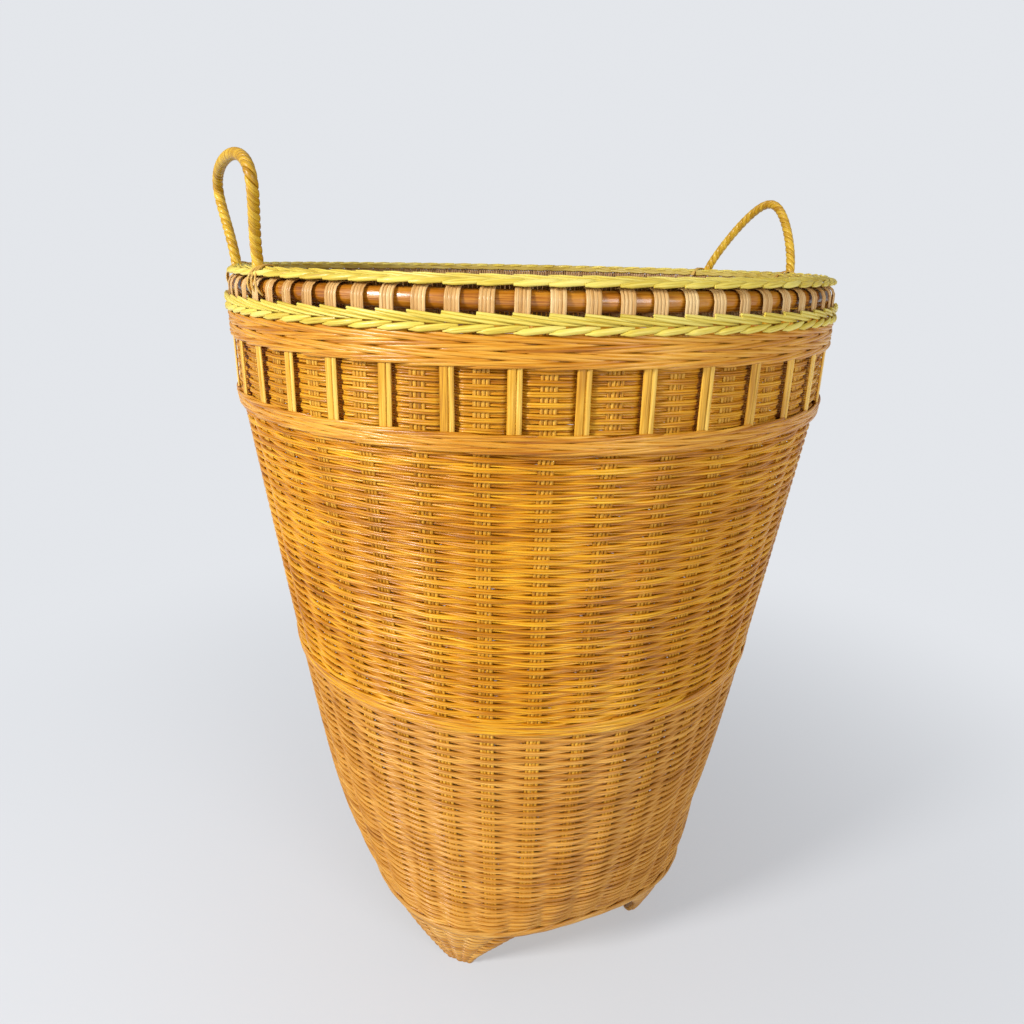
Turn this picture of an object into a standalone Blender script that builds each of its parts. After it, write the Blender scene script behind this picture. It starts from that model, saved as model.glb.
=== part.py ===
"""Tall woven cane laundry hamper, open at the top, with two loop handles that swing.

Metres, +Z up. The origin is on the floor, on the basket's upright axis. The square
base has its corners on the diagonals and the two handles stand over +X and -X.
"""
import math

import bmesh
import bpy
from mathutils import Matrix, Vector

# ---------------------------------------------------------------- driving dimensions
GAP = 0.0003                 # clearance between pieces that touch
STAKES = 38                  # upright stake bundles; one slat stands between each pair
STATIONS = 2 * STAKES        # stations round every ring, one for each rim wrap
WALL = 0.0033                # thickness of the weave

BASE_Z = 0.0590              # middle of the wale that borders the base
BASE_HALF = 0.1272           # half the base's width, across its flats
BASE_SQUARE = 2.65           # superellipse exponent of the base; 2 is a circle
ROUND_Z = 0.120              # the body is fully round from here up
MID_WALE_Z = 0.2552          # middle of the ridge half way up
SLAT_Z0 = 0.4376             # visible foot of the slats
SLAT_Z1 = 0.4694             # visible top of the slats
SLAT_PHASE = math.radians(-0.8)   # turn of the first slat from the +X axis
WALL_TOP = 0.4925
NECK_R = 0.1963              # outside radius of the weave at the foot of the slats
BODY_SLOPE = 0.1354          # how fast the body widens upwards
BASE_TUCK = 0.0179           # how far the base is drawn in below that slope
TUCK_LENGTH = 0.042
NECK_FLARE = 0.0003
NECK_LENGTH = 0.030

SLAT_WIDTH = 0.0072
SLAT_THICK = 0.0010
HOOP_R = 0.1910              # middle of the round rattan hoop
HOOP_Z = 0.4998
HOOP_RADIUS = 0.0053
WRAP_WIDTH = 0.0076
WRAP_THICK = 0.0007
BORDER_Z0 = 0.5064           # underside of the plaited top border
BORDER_Z1 = 0.5109

FOOT_TIP_R = 0.1140          # outermost point of a foot where it meets the floor
FOOT_SPREAD_TOP = math.radians(26)
FOOT_SPREAD_TIP = math.radians(6.5)

HANDLE_R = 0.1880            # how far the hinge line stands from the axis
HANDLE_Z = 0.5100            # height of the hinge line
CORE_RADIUS = 0.0024
WOUND_RADIUS = 0.0033
NOTCH_HALF = 0.0043          # half the gap in the border that a handle's foot stands in
HANDLES = {
    # name: (azimuth, half spread of the feet, height, lean outwards, belly, crown)
    "handle_right": (math.radians(2.5), 0.0481, 0.0529, math.radians(17.5), -0.22, 1.5),
    "handle_left": (math.radians(185.2), 0.0410, 0.0590, math.radians(5.0), 2.40, 1.0),
}

COLOURS = {
    # slot: (base colour, roughness)
    "honey_weave": ((0.62, 0.31, 0.07), 0.32),
    "pale_weave": ((0.66, 0.40, 0.16), 0.38),
    "dark_wale": ((0.52, 0.24, 0.06), 0.30),
    "slat_cane": ((0.70, 0.46, 0.20), 0.34),
    "yellow_plait": ((0.80, 0.66, 0.22), 0.40),
    "rattan_hoop": ((0.50, 0.20, 0.03), 0.22),
    "wrap_strip": ((0.66, 0.45, 0.25), 0.40),
    "handle_cane": ((0.72, 0.48, 0.11), 0.36),
}


# ---------------------------------------------------------------- scene helpers
def clear_scene():
    for old in list(bpy.data.objects):
        bpy.data.objects.remove(old, do_unlink=True)


def finish_for(slot):
    material = bpy.data.materials.get(slot)
    if material is None:
        colour, roughness = COLOURS[slot]
        material = bpy.data.materials.new(slot)
        material.use_nodes = True
        shader = material.node_tree.nodes["Principled BSDF"]
        shader.inputs["Base Color"].default_value = (*colour, 1.0)
        shader.inputs["Roughness"].default_value = roughness
        shader.inputs["Metallic"].default_value = 0.0
    return material


def add_object(name, mesh, slot, smooth=True):
    if smooth:
        mesh.shade_smooth()
        mesh.set_sharp_from_angle(angle=math.radians(40))
    thing = bpy.data.objects.new(name, mesh)
    thing.data.materials.append(finish_for(slot))
    bpy.context.collection.objects.link(thing)
    return thing


def mesh_from(bm, name):
    bmesh.ops.recalc_face_normals(bm, faces=bm.faces)
    mesh = bpy.data.meshes.new(name)
    bm.to_mesh(mesh)
    bm.free()
    return mesh


# ---------------------------------------------------------------- the body's shape
def wall_radius(z):
    """Outside radius of the weave at height z, across the flats."""
    if z > SLAT_Z0:
        return NECK_R + NECK_FLARE * (1.0 - math.exp(-(z - SLAT_Z0) / NECK_LENGTH))
    tuck = BASE_TUCK * math.exp(-(z - BASE_Z) / TUCK_LENGTH)
    return NECK_R + BODY_SLOPE * (z - SLAT_Z0) - tuck


def squareness(z):
    """Superellipse exponent: square-cornered at the base, round higher up."""
    share = min(max((ROUND_Z - z) / (ROUND_Z - BASE_Z), 0.0), 1.0)
    return 2.0 + (BASE_SQUARE - 2.0) * share ** 1.5


def section_point(half, z, angle, exponent):
    """A point on the rounded-square outline of the given half width."""
    x, y = math.cos(angle), math.sin(angle)
    reach = half / (abs(x) ** exponent + abs(y) ** exponent) ** (1.0 / exponent)
    return Vector((reach * x, reach * y, z))


def ring_object(name, profile, slot, exponents=None):
    """Sweep a closed profile of (half width, z) round the axis."""
    bm = bmesh.new()
    exponents = exponents or [squareness(z) for _, z in profile]
    rings = []
    for step in range(STATIONS):
        angle = 2.0 * math.pi * step / STATIONS
        rings.append([bm.verts.new(section_point(half, z, angle, power))
                      for (half, z), power in zip(profile, exponents)])
    for step in range(STATIONS):
        here, after = rings[step], rings[(step + 1) % STATIONS]
        for index in range(len(profile)):
            follow = (index + 1) % len(profile)
            bm.faces.new((here[index], after[index], after[follow], here[follow]))
    return add_object(name, mesh_from(bm, name), slot)


def wall_profile(heights, inset=0.0):
    """Outer face upwards, then the inner face down again."""
    outer = [(wall_radius(z) - inset, z) for z in heights]
    inner = [(wall_radius(z) - inset - WALL, z) for z in reversed(heights)]
    return outer + inner


def oval_profile(middle, z, half_wide, half_high, sides):
    """A rounded bead: an oval of the given number of sides."""
    turns = [2.0 * math.pi * (side + 0.5) / sides for side in range(sides)]
    return [(middle + half_wide * math.cos(turn), z + half_high * math.sin(turn))
            for turn in turns]


# ---------------------------------------------------------------- base and feet
def build_base():
    wale_half_high = 0.0029
    ring_object("base_wale", oval_profile(BASE_HALF - 0.0024, BASE_Z, 0.0030, wale_half_high, 6),
                "dark_wale", exponents=[BASE_SQUARE] * 6)
    panel_half = BASE_HALF - 0.0024 - 0.0030 - GAP
    panel_bottom = BASE_Z - 0.0018
    panel_thick = 0.0030
    bm = bmesh.new()
    outline = [section_point(panel_half, panel_bottom, 2.0 * math.pi * step / STATIONS, BASE_SQUARE)
               for step in range(STATIONS)]
    face = bm.faces.new([bm.verts.new(point) for point in outline])
    grown = bmesh.ops.extrude_face_region(bm, geom=[face])
    moved = [item for item in grown["geom"] if isinstance(item, bmesh.types.BMVert)]
    bmesh.ops.translate(bm, verts=moved, vec=(0.0, 0.0, panel_thick))
    add_object("base_panel", mesh_from(bm, "base_panel"), "pale_weave")


def foot_ring(level, corner):
    """One level of a foot: 0 at the floor, 1 under the base wale."""
    top_z = BASE_Z - 0.0029 - GAP
    z = top_z * level
    spread = FOOT_SPREAD_TIP + (FOOT_SPREAD_TOP - FOOT_SPREAD_TIP) * level ** 1.3
    top_corner = section_point(BASE_HALF - 0.0012, 0.0, math.radians(45), BASE_SQUARE).length
    scale = (FOOT_TIP_R + (top_corner - FOOT_TIP_R) * level ** 0.9) / top_corner
    thick = 0.0085 - 0.0045 * level
    columns = 6
    outer, inner = [], []
    for column in range(columns + 1):
        swing = spread * (2.0 * column / columns - 1.0)
        point = section_point((BASE_HALF - 0.0012) * scale, z, corner + swing, BASE_SQUARE)
        flat = Vector((point.x, point.y, 0.0))
        outer.append(point)
        inner.append(point - flat.normalized() * thick)
    return outer + list(reversed(inner))


def build_feet():
    levels = [0.0, 0.2, 0.5, 0.8, 1.0]
    names = ["foot_right_back", "foot_left_back", "foot_left_front", "foot_right_front"]
    for quarter, name in enumerate(names):
        corner = math.radians(45 + 90 * quarter)
        bm = bmesh.new()
        rings = [[bm.verts.new(point) for point in foot_ring(level, corner)] for level in levels]
        count = len(rings[0])
        for low, high in zip(rings, rings[1:]):
            for index in range(count):
                follow = (index + 1) % count
                bm.faces.new((low[index], low[follow], high[follow], high[index]))
        bm.faces.new(list(reversed(rings[0])))
        bm.faces.new(rings[-1])
        add_object(name, mesh_from(bm, name), "pale_weave")


# ---------------------------------------------------------------- woven walls and wales
def build_walls():
    wale_half_high = 0.0043
    low_start = BASE_Z + 0.0029 + GAP
    low_end = MID_WALE_Z - wale_half_high - GAP
    high_start = MID_WALE_Z + wale_half_high + GAP
    ring_object("lower_wall", wall_profile([low_start, 0.085, 0.120, 0.180, low_end], 0.0003),
                "pale_weave")
    ring_object("upper_wall", wall_profile([high_start, 0.350, SLAT_Z0, SLAT_Z1, WALL_TOP]),
                "honey_weave")
    middle = wall_radius(MID_WALE_Z) - 0.0009
    ring_object("mid_wale", oval_profile(middle, MID_WALE_Z, 0.0028, wale_half_high, 6), "honey_weave")


def build_slats():
    """Flat cane slats lie over the weave, midway between the stakes."""
    low = SLAT_Z0 - 0.0030
    high = SLAT_Z1 + 0.0035
    heights = [low, SLAT_Z0, SLAT_Z1, high]
    half_angle = 0.5 * SLAT_WIDTH / NECK_R
    for number in range(STAKES):
        middle = 2.0 * math.pi * number / STAKES + SLAT_PHASE
        bm = bmesh.new()
        rows = []
        for z in heights:
            under = wall_radius(z) + GAP
            rows.append([bm.verts.new((reach * math.cos(turn), reach * math.sin(turn), z))
                         for reach, turn in ((under, middle - half_angle),
                                             (under, middle + half_angle),
                                             (under + SLAT_THICK, middle + half_angle),
                                             (under + SLAT_THICK, middle - half_angle))])
        for lower, upper in zip(rows, rows[1:]):
            for index in range(4):
                follow = (index + 1) % 4
                bm.faces.new((lower[index], lower[follow], upper[follow], upper[index]))
        bm.faces.new(list(reversed(rows[0])))
        bm.faces.new(rows[-1])
        name = f"slat_{number + 1:02d}"
        add_object(name, mesh_from(bm, name), "slat_cane", smooth=False)


def build_slat_bands():
    """The twined bands that hold the slats' ends against the wall."""
    cover = GAP + SLAT_THICK + GAP
    lower_z = [SLAT_Z0 - 0.0094, SLAT_Z0 - 0.0048, SLAT_Z0 - 0.0002]
    upper_z = [SLAT_Z1 + 0.0006, SLAT_Z1 + 0.0078, SLAT_Z1 + 0.0150]
    for name, heights, swell in (("lower_band_wale", lower_z, 0.0015),
                                 ("upper_band_wale", upper_z, 0.0020)):
        low, mid, high = heights
        base = {z: wall_radius(z) + cover for z in heights}
        profile = [(base[low], low), (base[low] + 0.6 * swell, low), (base[mid] + swell, mid),
                   (base[high] + 0.6 * swell, high), (base[high], high), (base[mid], mid)]
        ring_object(name, profile, "dark_wale", exponents=[2.0] * 6)


# ---------------------------------------------------------------- the rim
def build_rim():
    foot = SLAT_Z1 + 0.0150 + GAP
    inner = wall_radius(WALL_TOP) + 2 * GAP
    profile = [(inner, foot), (inner + 0.0020, foot), (inner + 0.0029, foot + 0.0030),
               (inner + 0.0028, foot + 0.0076), (inner + 0.0020, 0.4948), (inner, 0.4948)]
    ring_object("lower_plait", profile, "yellow_plait", exponents=[2.0] * 6)
    hoop = oval_profile(HOOP_R, HOOP_Z, HOOP_RADIUS, HOOP_RADIUS, 8)
    ring_object("rim_hoop", hoop, "rattan_hoop", exponents=[2.0] * 8)
    build_wraps()
    build_top_border()


def build_wraps():
    """Stake ends folded over the hoop: legs inside and outside, joined above it."""
    inner_face = HOOP_R - HOOP_RADIUS - GAP - WRAP_THICK
    outer_face = HOOP_R + HOOP_RADIUS + GAP + WRAP_THICK
    radii = [inner_face, inner_face + WRAP_THICK, outer_face - WRAP_THICK, outer_face]
    under = HOOP_Z + HOOP_RADIUS + GAP
    top = BORDER_Z0 - GAP
    leg_end = 0.4951
    half_leg = 0.5 * WRAP_WIDTH / HOOP_R
    pitch = 2.0 * math.pi / STATIONS
    bm = bmesh.new()

    def station(angle):
        def spot(reach, z):
            return bm.verts.new((reach * math.cos(angle), reach * math.sin(angle), z))
        return {"top": [spot(radii[0], top), spot(radii[3], top)],
                "under": [spot(reach, under) for reach in radii],
                "end": [spot(reach, leg_end) for reach in radii]}

    stations = []
    for step in range(STATIONS):
        for side in (-1, 1):
            stations.append(station(pitch * step + side * half_leg))
    for index, here in enumerate(stations):
        after = stations[(index + 1) % len(stations)]
        has_legs = index % 2 == 0
        bm.faces.new((here["top"][0], here["top"][1], after["top"][1], after["top"][0]))
        for top_side, edge in ((0, 0), (1, 3)):
            bm.faces.new((here["top"][top_side], after["top"][top_side],
                          after["under"][edge], here["under"][edge]))
        for band in range(3):
            level = "end" if has_legs and band != 1 else "under"
            bm.faces.new((here[level][band], after[level][band],
                          after[level][band + 1], here[level][band + 1]))
        if has_legs:
            for edge in range(4):
                bm.faces.new((here["under"][edge], after["under"][edge],
                              after["end"][edge], here["end"][edge]))
            for side in (here, after):
                for band in (0, 2):
                    bm.faces.new((side["under"][band], side["under"][band + 1],
                                  side["end"][band + 1], side["end"][band]))
    add_object("rim_wraps", mesh_from(bm, "rim_wraps"), "wrap_strip", smooth=False)


def handle_frame(azimuth):
    """Outward and sideways directions at a handle."""
    outward = Vector((math.cos(azimuth), math.sin(azimuth), 0.0))
    sideways = Vector((-math.sin(azimuth), math.cos(azimuth), 0.0))
    return outward, sideways


def foot_spots():
    """The four places where a handle's foot stands in the border."""
    spots = []
    for name, (azimuth, spread, *_) in HANDLES.items():
        outward, sideways = handle_frame(azimuth)
        for side, word in ((-1, "a"), (1, "b")):
            centre = outward * HANDLE_R + sideways * side * spread
            spots.append((f"{name}_{word}", azimuth, Vector((centre.x, centre.y, HANDLE_Z)), side))
    return spots


def build_top_border():
    profile = [(0.1830, BORDER_Z0), (0.1962, BORDER_Z0), (0.1968, BORDER_Z0 + 0.0016),
               (0.1940, BORDER_Z1 - 0.0006), (0.1895, BORDER_Z1), (0.1840, BORDER_Z1 - 0.0014)]
    border = ring_object("top_border", profile, "yellow_plait", exponents=[2.0] * 6)
    for label, azimuth, centre, _ in foot_spots():
        bm = bmesh.new()
        bmesh.ops.create_cube(bm, size=1.0)
        size = Matrix.Diagonal((0.030, 2.0 * NOTCH_HALF, 0.010, 1.0))
        floor = BORDER_Z0 + 0.0007
        place = Matrix.Translation((centre.x, centre.y, floor + 0.005))
        bmesh.ops.transform(bm, matrix=place @ Matrix.Rotation(azimuth, 4, "Z") @ size, verts=bm.verts)
        cutter = add_object(f"cutter_{label}", mesh_from(bm, label), "yellow_plait", smooth=False)
        cutter.hide_render = True
        cutter.display_type = "WIRE"
        cut = border.modifiers.new(f"notch_{label}", "BOOLEAN")
        cut.operation = "DIFFERENCE"
        cut.solver = "EXACT"
        cut.object = cutter


# ---------------------------------------------------------------- handles
def handle_path(spread, height, belly, crown, turn):
    """Sideways and upward distance of a point on the loop, for turn from 0 to pi."""
    swell = 1.0 + belly * math.sin(turn) ** 2
    rise = max(math.sin(turn), 0.0) ** crown
    return spread * math.cos(turn) * swell, height * rise


def build_handle(name, azimuth, spread, height, lean, belly, crown):
    """A bent rattan core wound with cane, swept round its own loop."""
    outward, sideways = handle_frame(azimuth)
    rise = Vector((0.0, 0.0, 1.0)) * math.cos(lean) + outward * math.sin(lean)
    hinge = outward * HANDLE_R + Vector((0.0, 0.0, HANDLE_Z))
    steps, sides = 30, 8

    def centre(turn):
        across, up = handle_path(spread, height, belly, crown, turn)
        return hinge + sideways * across + rise * up

    path = []
    for dip, shrink in ((0.0024, 0.0), (0.0018, 0.66), (0.0, 1.0), (-0.0026, 1.0)):
        path.append((centre(0.0) - rise * dip, -rise, CORE_RADIUS * shrink))
    for step in range(2, steps - 1):
        turn = math.pi * step / steps
        ahead = centre(turn + 0.01) - centre(turn - 0.01)
        path.append((centre(turn), -ahead.normalized(), WOUND_RADIUS))
    for dip, shrink in ((-0.0026, 1.0), (0.0, 1.0), (0.0018, 0.66), (0.0024, 0.0)):
        path.append((centre(math.pi) - rise * dip, rise, CORE_RADIUS * shrink))
    normal = sideways.cross(rise)
    bm = bmesh.new()
    rings = []
    for place, along, radius in path:
        if radius == 0.0:
            rings.append([bm.verts.new(place - hinge)])
            continue
        level = normal.cross(along).normalized()
        rings.append([bm.verts.new(place - hinge + radius * (
            math.cos(2.0 * math.pi * side / sides) * normal
            + math.sin(2.0 * math.pi * side / sides) * level)) for side in range(sides)])
    for low, high in zip(rings, rings[1:]):
        for side in range(sides):
            follow = (side + 1) % sides
            corners = [low[side % len(low)], low[follow % len(low)],
                       high[follow % len(high)], high[side % len(high)]]
            unique = list(dict.fromkeys(corners))
            bm.faces.new(unique)
    handle = add_object(name, mesh_from(bm, name), "handle_cane")
    handle.location = hinge


def build_lashings():
    """A flat cane strap beside each foot of a handle, down over border and hoop."""
    thick, half_wide, offset = 0.0008, 0.0019, 0.0068
    route = [(0.1902, BORDER_Z1 + GAP), (0.1944, BORDER_Z1 + 0.0001), (0.1978, BORDER_Z0 + 0.0020),
             (0.1986, BORDER_Z0 - 0.0006), (0.1979, 0.4985)]
    for label, azimuth, centre, side in foot_spots():
        bearing = math.atan2(centre.y, centre.x) + side * offset / HOOP_R
        outward, sideways = handle_frame(bearing)
        bm = bmesh.new()
        rows = []
        for index, (reach, z) in enumerate(route):
            before = Vector(route[max(index - 1, 0)])
            after = Vector(route[min(index + 1, len(route) - 1)])
            along = (after - before).normalized()
            out_r, out_z = -along.y, along.x
            if out_r < 0.0:
                out_r, out_z = -out_r, -out_z
            near = outward * reach + Vector((0.0, 0.0, z))
            far = near + (outward * out_r + Vector((0.0, 0.0, out_z))) * thick
            rows.append([bm.verts.new(near - sideways * half_wide), bm.verts.new(near + sideways * half_wide),
                         bm.verts.new(far + sideways * half_wide), bm.verts.new(far - sideways * half_wide)])
        for low, high in zip(rows, rows[1:]):
            for index in range(4):
                follow = (index + 1) % 4
                bm.faces.new((low[index], low[follow], high[follow], high[index]))
        bm.faces.new(list(reversed(rows[0])))
        bm.faces.new(rows[-1])
        name = f"lashing_{label.replace('handle_', '')}"
        add_object(name, mesh_from(bm, name), "wrap_strip", smooth=False)


clear_scene()
build_base()
build_feet()
build_walls()
build_slats()
build_slat_bands()
build_rim()
for handle_name, handle_shape in HANDLES.items():
    build_handle(handle_name, *handle_shape)
build_lashings()
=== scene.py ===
"""An open laundry hamper of woven cane with two loop handles, on a pale studio floor."""
import math

import bpy
from mathutils import Matrix, Vector


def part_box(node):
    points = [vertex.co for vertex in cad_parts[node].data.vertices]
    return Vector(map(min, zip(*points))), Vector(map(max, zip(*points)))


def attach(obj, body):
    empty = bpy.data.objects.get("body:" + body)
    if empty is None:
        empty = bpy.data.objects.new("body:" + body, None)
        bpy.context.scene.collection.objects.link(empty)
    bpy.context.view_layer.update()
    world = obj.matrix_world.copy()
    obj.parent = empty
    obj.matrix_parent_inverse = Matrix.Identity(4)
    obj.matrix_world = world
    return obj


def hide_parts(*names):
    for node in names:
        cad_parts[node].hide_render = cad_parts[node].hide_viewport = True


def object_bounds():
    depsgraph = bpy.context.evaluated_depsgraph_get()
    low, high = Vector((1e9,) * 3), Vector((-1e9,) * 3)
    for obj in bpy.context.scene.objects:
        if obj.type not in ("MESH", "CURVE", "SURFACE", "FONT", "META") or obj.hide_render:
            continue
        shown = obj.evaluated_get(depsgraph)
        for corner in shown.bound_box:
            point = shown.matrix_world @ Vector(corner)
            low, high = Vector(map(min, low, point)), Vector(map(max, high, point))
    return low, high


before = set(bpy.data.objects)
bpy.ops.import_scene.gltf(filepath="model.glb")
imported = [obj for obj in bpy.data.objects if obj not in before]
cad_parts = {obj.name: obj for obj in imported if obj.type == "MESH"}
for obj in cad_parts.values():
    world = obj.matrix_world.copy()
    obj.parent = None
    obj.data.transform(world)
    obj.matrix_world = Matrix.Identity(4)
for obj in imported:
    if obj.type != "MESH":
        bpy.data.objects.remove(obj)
cad_box = [list(corner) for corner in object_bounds()]
scene = bpy.context.scene
floor_level = cad_box[0][2]
rim_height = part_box("top_border")[1].z

# ---------------------------------------------------------------- studio
# A broad pale floor that fades into the pale air round it, one large soft light in front and
# to the left, a weaker one to the right, and the camera at standing height before the hamper.
camera = bpy.data.objects.new("camera", bpy.data.cameras.new("camera"))
camera.data.sensor_width = 36.0
camera.data.lens = 26.77
camera.data.clip_start = 0.01
camera_turn = (Matrix.Rotation(math.radians(-21.877), 4, "Z")
               @ Matrix.Rotation(math.radians(90.0 - 18.67), 4, "X")
               @ Matrix.Rotation(math.radians(1.176), 4, "Z"))
camera.matrix_world = Matrix.Translation((-0.2147, -0.5104, rim_height + 0.0088)) @ camera_turn
scene.collection.objects.link(camera)
scene.camera = camera
scene.view_settings.view_transform = "Standard"

air_colour = (0.775, 0.795, 0.830, 1.0)
world = bpy.data.worlds.new("studio air")
world.use_nodes = True
background = world.node_tree.nodes["Background"]
background.inputs["Color"].default_value = air_colour
background.inputs["Strength"].default_value = 0.36
seen_air = world.node_tree.nodes.new("ShaderNodeBackground")
seen_air.inputs["Color"].default_value = air_colour
seen_air.inputs["Strength"].default_value = 1.0
ray = world.node_tree.nodes.new("ShaderNodeLightPath")
choose_air = world.node_tree.nodes.new("ShaderNodeMixShader")
world.node_tree.links.new(ray.outputs["Is Camera Ray"], choose_air.inputs["Fac"])
world.node_tree.links.new(background.outputs["Background"], choose_air.inputs[1])
world.node_tree.links.new(seen_air.outputs["Background"], choose_air.inputs[2])
world.node_tree.links.new(choose_air.outputs["Shader"],
                          world.node_tree.nodes["World Output"].inputs["Surface"])
scene.world = world


def studio_light(name, place, size, power, colour):
    lamp = bpy.data.lights.new(name, "AREA")
    lamp.shape = "DISK"
    lamp.size = size
    lamp.energy = power
    lamp.color = colour
    holder = bpy.data.objects.new(name, lamp)
    holder.location = place
    aim = Vector((0.0, 0.0, 0.30)) - Vector(place)
    holder.rotation_euler = aim.to_track_quat("-Z", "Y").to_euler()
    scene.collection.objects.link(holder)


studio_light("key_light", (-1.75, -0.52, 1.15), 0.42, 42.0, (1.0, 0.98, 0.95))
studio_light("fill_light", (0.40, -1.85, 0.90), 1.0, 15.0, (1.0, 0.99, 0.98))
studio_light("top_light", (0.10, 0.30, 1.90), 1.2, 2.5, (0.97, 0.98, 1.0))

floor_mesh = bpy.data.meshes.new("floor")
floor_points = [(0.0, 0.0, floor_level)]
for spoke in range(96):
    around = math.tau * spoke / 96
    floor_points.append((6.0 * math.cos(around), 6.0 * math.sin(around), floor_level))
floor_mesh.from_pydata(floor_points, [], [(0, 1 + spoke, 1 + (spoke + 1) % 96) for spoke in range(96)])
floor = bpy.data.objects.new("floor", floor_mesh)
scene.collection.objects.link(floor)
floor_paint = bpy.data.materials.new("pale floor")
floor_paint.use_nodes = True
paint = floor_paint.node_tree
matt = paint.nodes["Principled BSDF"]
matt.inputs["Base Color"].default_value = (0.70, 0.72, 0.76, 1.0)
matt.inputs["Roughness"].default_value = 0.75
matt.inputs["Specular IOR Level"].default_value = 0.2
haze = paint.nodes.new("ShaderNodeEmission")
haze.inputs["Color"].default_value = air_colour
where = paint.nodes.new("ShaderNodeTexCoord")
reach = paint.nodes.new("ShaderNodeVectorMath")
reach.operation = "LENGTH"
fade = paint.nodes.new("ShaderNodeMapRange")
fade.interpolation_type = "SMOOTHSTEP"
fade.inputs["From Min"].default_value = 0.16
fade.inputs["From Max"].default_value = 0.85
fade.inputs["To Min"].default_value = 0.45
blend_out = paint.nodes.new("ShaderNodeMixShader")
paint.links.new(where.outputs["Object"], reach.inputs[0])
paint.links.new(reach.outputs["Value"], fade.inputs["Value"])
paint.links.new(fade.outputs["Result"], blend_out.inputs["Fac"])
paint.links.new(matt.outputs["BSDF"], blend_out.inputs[1])
paint.links.new(haze.outputs["Emission"], blend_out.inputs[2])
paint.links.new(blend_out.outputs["Shader"], paint.nodes["Material Output"].inputs["Surface"])
floor_mesh.materials.append(floor_paint)


# ---------------------------------------------------------------- upright stakes
# Thirty-eight bundles of four thin split canes run from the base to the rim. Everything else
# is woven round them, so the hamper's outline is settled here with them.
STAKES = 38
STAKE_PITCH = math.tau / STAKES
STAKE_TURN = 0.5 * STAKE_PITCH + math.radians(-0.8)
base_level = 0.5 * (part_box("base_wale")[0].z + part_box("base_wale")[1].z)
base_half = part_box("base_wale")[1].x
slat_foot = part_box("lower_band_wale")[1].z + 0.0002
wall_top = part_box("upper_wall")[1].z
NECK_R = 0.1963
NECK_FLARE = 0.0003
NECK_LENGTH = 0.030
BODY_SLOPE = 0.1354
BASE_TUCK = 0.0179
TUCK_LENGTH = 0.042
BASE_SQUARE = 2.65
ROUND_LEVEL = 0.120
STRAND_DEPTH = 0.00192


class Value:
    """A number passing through a node tree. Arithmetic on it adds the Math node that does it."""

    def __init__(self, tree, socket):
        self.tree = tree
        self.socket = socket

    def math(self, operation, *others):
        node = self.tree.nodes.new("ShaderNodeMath")
        node.operation = operation
        for slot, item in zip(node.inputs, (self, *others)):
            feed(self.tree, item, slot)
        return Value(self.tree, node.outputs[0])

    def __add__(self, other):
        return self.math("ADD", other)

    __radd__ = __add__

    def __sub__(self, other):
        return self.math("SUBTRACT", other)

    def __rsub__(self, other):
        return self.math("MULTIPLY_ADD", -1.0, other)

    def __mul__(self, other):
        return self.math("MULTIPLY", other)

    __rmul__ = __mul__

    def __truediv__(self, other):
        return self.math("DIVIDE", other)

    def __rtruediv__(self, other):
        return (self ** -1.0) * other

    def __pow__(self, other):
        return self.math("POWER", other)

    def below(self, limit):
        return self.math("LESS_THAN", limit)

    def clamped(self):
        return self.math("MAXIMUM", 0.0).math("MINIMUM", 1.0)

    def eased(self):
        held = self.clamped()
        return held * held * (3.0 - 2.0 * held)

    def groups(self, count):
        """Which group of so many this number falls in."""
        return (self / count).math("FLOOR")

    def within(self, count):
        """Its place within that group."""
        return self - self.groups(count) * count

    def by_turns(self):
        """1 for an even number and -1 for an odd one."""
        return 1.0 - self.within(2.0) * 2.0


def feed(tree, item, slot):
    if isinstance(item, Value):
        tree.links.new(item.socket, slot)
    else:
        slot.default_value = item


def vector(tree, x, y, z):
    node = tree.nodes.new("ShaderNodeCombineXYZ")
    for item, slot in zip((x, y, z), node.inputs):
        feed(tree, item, slot)
    return Value(tree, node.outputs[0])


def uneven(tree, place, scale, detail=1.0):
    """Smooth noise about zero, from -1 to 1."""
    node = tree.nodes.new("ShaderNodeTexNoise")
    feed(tree, place, node.inputs["Vector"])
    feed(tree, scale, node.inputs["Scale"])
    node.inputs["Detail"].default_value = detail
    return Value(tree, node.outputs["Fac"]) * 2.0 - 1.0


def body_half(z):
    """Half width of the weave's outside at height z: a tapered body under a flared neck."""
    tuck = ((z - base_level) * (-1.0 / TUCK_LENGTH)).math("EXPONENT") * BASE_TUCK
    body = NECK_R + BODY_SLOPE * (z - slat_foot) - tuck
    fade_in = ((z - slat_foot) * (-1.0 / NECK_LENGTH)).math("EXPONENT")
    neck = NECK_R + NECK_FLARE * (1.0 - fade_in)
    low = z.below(slat_foot)
    return body * low + neck * (1.0 - low)


def outline(half, angle, z):
    """x and y on the hamper's section: round above, a rounded square at the base."""
    lowness = ((ROUND_LEVEL - z) / (ROUND_LEVEL - base_level)).clamped()
    power = lowness ** 1.5 * (BASE_SQUARE - 2.0) + 2.0
    along_x, along_y = angle.math("COSINE"), angle.math("SINE")
    spread = along_x.math("ABSOLUTE") ** power + along_y.math("ABSOLUTE") ** power
    reach = half / spread ** (1.0 / power)
    return reach * along_x, reach * along_y


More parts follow.
